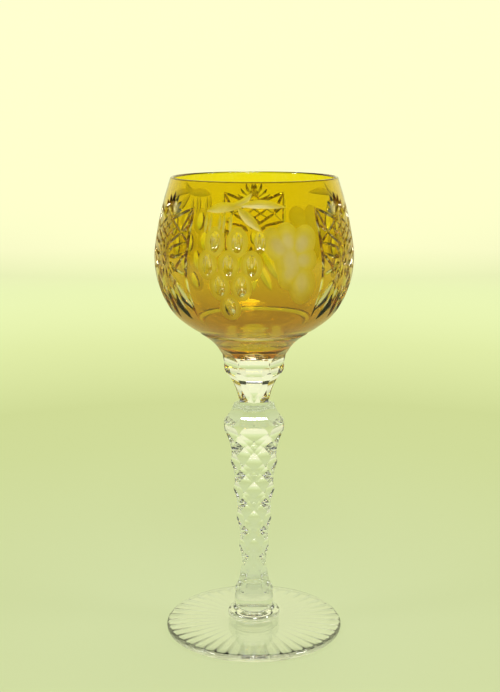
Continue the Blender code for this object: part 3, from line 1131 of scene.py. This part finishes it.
FLUTES = 40
FLUTE_START = 24 * MM
FLUTE_DEPTH = 0.28 * MM  # at the foot's edge
FLUTE_WHEEL = 0.2  # a flute's own radius, as a share of its distance from the axis
FLUTE_INNER = 0.88 * FLUTE_START  # where the cones that cut the flutes end
FLUTE_OUTER = 1.05 * FOOT_RADIUS
FLUTE_SEGMENTS = 160
KICK = [(12 * MM, 0), (6 * MM, 0.48 * MM), (0, 0.6 * MM)]  # the hollow under the foot's middle
FOOT_OUTSIDE = [
    (FOOT_RADIUS - 1 * MM, 0),
    (FOOT_RADIUS - 0.2 * MM, 0.6 * MM),
    (FOOT_RADIUS, 1.8 * MM),
    (FOOT_RADIUS - 0.6 * MM, 2.6 * MM),
    (FOOT_RADIUS - 2.5 * MM, 3.1 * MM),
    (0.6 * FOOT_RADIUS, 3.85 * MM),
    (RING_RADIUS + 2 * MM, 4.3 * MM),
    (RING_RADIUS - RING_BULGE, FOOT_JOINT - SEAM_GAP / 2),
]


def flute_axis_height(radius):
    """The height, at a distance from the foot's axis, of the middle of a cone that cuts a flute."""
    bite = (radius - FLUTE_START) * FLUTE_DEPTH / (FOOT_RADIUS - FLUTE_START)
    return bite - radius * FLUTE_WHEEL


def flutes():
    """Cones side by side, pointing at the axis, that bite deeper towards the foot's edge."""
    near, far = flute_axis_height(FLUTE_INNER), flute_axis_height(FLUTE_OUTER)
    tilt = math.atan2(far - near, FLUTE_OUTER - FLUTE_INNER)
    aim = Matrix.Rotation(math.pi / 2 - tilt, 4, "Y")
    centre = Matrix.Translation(((FLUTE_INNER + FLUTE_OUTER) / 2, 0, (near + far) / 2))
    shapes = []
    ends = (FLUTE_INNER * FLUTE_WHEEL, FLUTE_OUTER * FLUTE_WHEEL)
    for i in range(FLUTES):
        turn = Matrix.Rotation(math.tau * i / FLUTES, 4, "Z")
        shapes.append(cone(FLUTE_SEGMENTS, *ends, FLUTE_OUTER - FLUTE_INNER, turn @ centre @ aim))
    return shapes


def make_foot():
    """A low dome with a rounded edge, fluted below, round a shallow hollow."""
    outside = smooth_outline(FOOT_OUTSIDE)
    runs = [
        ([(0, outside[-1][1]), outside[-1]], SEAM_SLOT),
        (list(reversed(outside)), SKIN_SLOT),
        ([outside[0], *smooth_outline(KICK)], INSIDE_SLOT),
    ]
    return cut_piece("foot_fine", runs, [flutes()], SOLID_LOOKS, outside)


def build_glass():
    """Each CAD node's fine piece and the slot of its material."""
    return {
        "bowl_crystal": (make_bowl(), "bowl_crystal"),
        "amber_casing": (make_casing(), "amber_overlay"),
        "neck_knop": (make_neck(), "clear_crystal"),
        "stem": (make_stem(), "clear_crystal"),
        "stem_base_collar": (make_collar(), "clear_crystal"),
        "merese_ring": (make_ring(), "clear_crystal"),
        "foot": (make_foot(), "clear_crystal"),
    }


# -------- floor, light and camera

FLOOR_RADIUS = 0.40
SWEEP_RADIUS = 0.60
WALL_TOP = 0.80
FLOOR_GLOW = [  # radius as a share of the dish's, and the paper's painted glow there
    (0.00, (0.56, 0.63, 0.32)),
    (0.30, (0.54, 0.61, 0.25)),
    (0.41, (0.54, 0.61, 0.24)),
    (0.55, (0.68, 0.76, 0.33)),
    (0.65, (0.80, 0.89, 0.44)),
    (0.71, (0.93, 0.94, 0.55)),
    (1.00, (0.96, 0.96, 0.59)),
]
ROOM_GLOW = (0.035, 0.035, 0.030)  # the dim painted glow, a painted shade, of the wall all round, but for the brightly glowing stretch behind the glass
# A dark diffuse colour, so that the painted glow sets how bright the paper looks
PAPER_COLOUR = (0.04, 0.045, 0.03)
PAPER_ROUGHNESS = 0.8
ROOM_START, ROOM_END = 0.03, 0.20  # heights between which the wall's painted glow darkens
BACK_START, BACK_END = 0.20, 0.75  # distances behind the glass between which the wall's painted glow brightens
STAGE_STEPS = 96  # round the floor
SWEEP_STEPS = 32  # up the curve from the floor to the wall
STAGE_DROP = 0.02 * MM  # how far under the foot the floor lies


def make_stage():
    """A round floor that sweeps up into a wall, with a painted glow that pales from the floor
    upwards.
    """
    outline = [(0, 0), (FLOOR_RADIUS / 2, 0), (FLOOR_RADIUS, 0)]
    for turn in np.linspace(0, math.pi / 2, SWEEP_STEPS + 1)[1:]:
        radius = FLOOR_RADIUS + SWEEP_RADIUS * math.sin(turn)
        outline.append((radius, SWEEP_RADIUS * (1 - math.cos(turn))))
    outline.append((FLOOR_RADIUS + SWEEP_RADIUS, WALL_TOP))
    angles = [math.tau * i / STAGE_STEPS for i in range(STAGE_STEPS)]
    shape = bmesh.new()
    rings = [[shape.verts.new((0, 0, 0))] * STAGE_STEPS]
    for radius, height in outline[1:]:
        circle = [(radius * math.cos(angle), radius * math.sin(angle), height) for angle in angles]
        rings.append([shape.verts.new(point) for point in circle])
    for inner, outer in zip(rings, rings[1:]):
        for i in range(STAGE_STEPS):
            j = (i + 1) % STAGE_STEPS
            corners = dict.fromkeys([inner[i], outer[i], outer[j], inner[j]])
            shape.faces.new(list(corners)).smooth = True
    mesh = bpy.data.meshes.new("sweep")
    shape.to_mesh(mesh)
    shape.free()
    mesh.materials.append(paper())
    sweep = placed("sweep", mesh)
    sweep.location.z = -STAGE_DROP


def paper():
    """Matt paper with a painted glow that follows FLOOR_GLOW outwards, and painted shade, a dim glow,
    round the sides.
    """
    nodes = Nodes("sweep_paper")
    coordinates = nodes.add("ShaderNodeTexCoord")
    flat = nodes.add("ShaderNodeVectorMath", operation="MULTIPLY")
    flat.inputs[1].default_value = (1, 1, 0)
    reach = nodes.add("ShaderNodeVectorMath", operation="LENGTH")
    nodes.link(coordinates.outputs["Object"], flat.inputs[0])
    nodes.link(flat.outputs[0], reach.inputs[0])
    lit = nodes.ramp(reach.outputs["Value"], FLOOR_GLOW)
    room = nodes.add("ShaderNodeRGB")
    room.outputs[0].default_value = (*ROOM_GLOW, 1)
    split = nodes.add("ShaderNodeSeparateXYZ")
    nodes.link(coordinates.outputs["Object"], split.inputs[0])
    behind = nodes.smooth_share(split.outputs["Y"], BACK_START, BACK_END)
    low = nodes.smooth_share(split.outputs["Z"], ROOM_END, ROOM_START)
    shown = nodes.add("ShaderNodeMath", operation="MAXIMUM")
    nodes.link(behind, shown.inputs[0])
    nodes.link(low, shown.inputs[1])
    glow = nodes.mixed(shown.outputs[0], room.outputs[0], lit)
    shader = nodes.add("ShaderNodeBsdfPrincipled")
    shader.inputs["Roughness"].default_value = PAPER_ROUGHNESS
    shader.inputs["Base Color"].default_value = (*PAPER_COLOUR, 1)
    shader.inputs["Emission Strength"].default_value = 1
    nodes.link(glow, shader.inputs["Emission Color"])
    nodes.link(shader.outputs["BSDF"], nodes.output.inputs["Surface"])
    return nodes.material


GLASS_MIDDLE = (0, 0, 0.11)  # where the lights are aimed
SOFTBOXES = [  # name, place, size, power in watts
    ("front_box", (0.04, -0.70, 0.92), (0.26, 0.16), 6),
    ("left_box", (-0.80, -0.25, 0.86), (0.22, 0.22), 6),
    ("right_box", (0.80, -0.20, 0.86), (0.22, 0.22), 6),
    ("top_box", (0.10, 0.20, 1.25), (0.30, 0.30), 4),
]
ROOM_COLOUR = (0.50, 0.52, 0.48, 1)
ROOM_STRENGTH = 0.04


def softbox(name, place, size, power):
    light = bpy.data.lights.new(name, "AREA")
    light.shape = "RECTANGLE"
    light.size, light.size_y = size
    light.energy = power
    box = placed(name, light)
    box.location = place
    aim = Vector(GLASS_MIDDLE) - Vector(place)
    box.rotation_euler = aim.to_track_quat("-Z", "Y").to_euler()


def make_lights():
    for box in SOFTBOXES:
        softbox(*box)
    world = bpy.data.worlds.new("room")
    world.use_nodes = True
    background = world.node_tree.nodes["Background"]
    background.inputs["Color"].default_value = ROOM_COLOUR
    background.inputs["Strength"].default_value = ROOM_STRENGTH
    bpy.context.scene.world = world


CAMERA_PLACE = (-0.00176, -0.5148, 0.2328)
CAMERA_DIP = 11.531  # degrees below level
CAMERA_LENS = 63.74  # mm, for a 36 mm sensor along the picture's long side
CAMERA_CLIP = 0.01  # the least distance that it sees, m


def make_camera():
    lens = bpy.data.cameras.new("camera")
    lens.lens = CAMERA_LENS
    lens.clip_start = CAMERA_CLIP
    camera = placed("camera", lens)
    camera.location = CAMERA_PLACE
    camera.rotation_euler = (math.radians(90 - CAMERA_DIP), 0, 0)
    bpy.context.scene.camera = camera


def set_light_paths():
    """Plain colours, and many bounces for the cut glass, whose seams count as see-through ones."""
    scene = bpy.context.scene
    scene.view_settings.view_transform = "Standard"
    scene.cycles.max_bounces = 32
    scene.cycles.transmission_bounces = 32
    scene.cycles.glossy_bounces = 12
    scene.cycles.transparent_max_bounces = 64
    scene.cycles.sample_clamp_indirect = 6


def main():
    make_camera()
    make_lights()
    make_stage()
    set_light_paths()
    for node, (piece, slot) in build_glass().items():
        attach(piece, "root")
        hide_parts(node)


main()
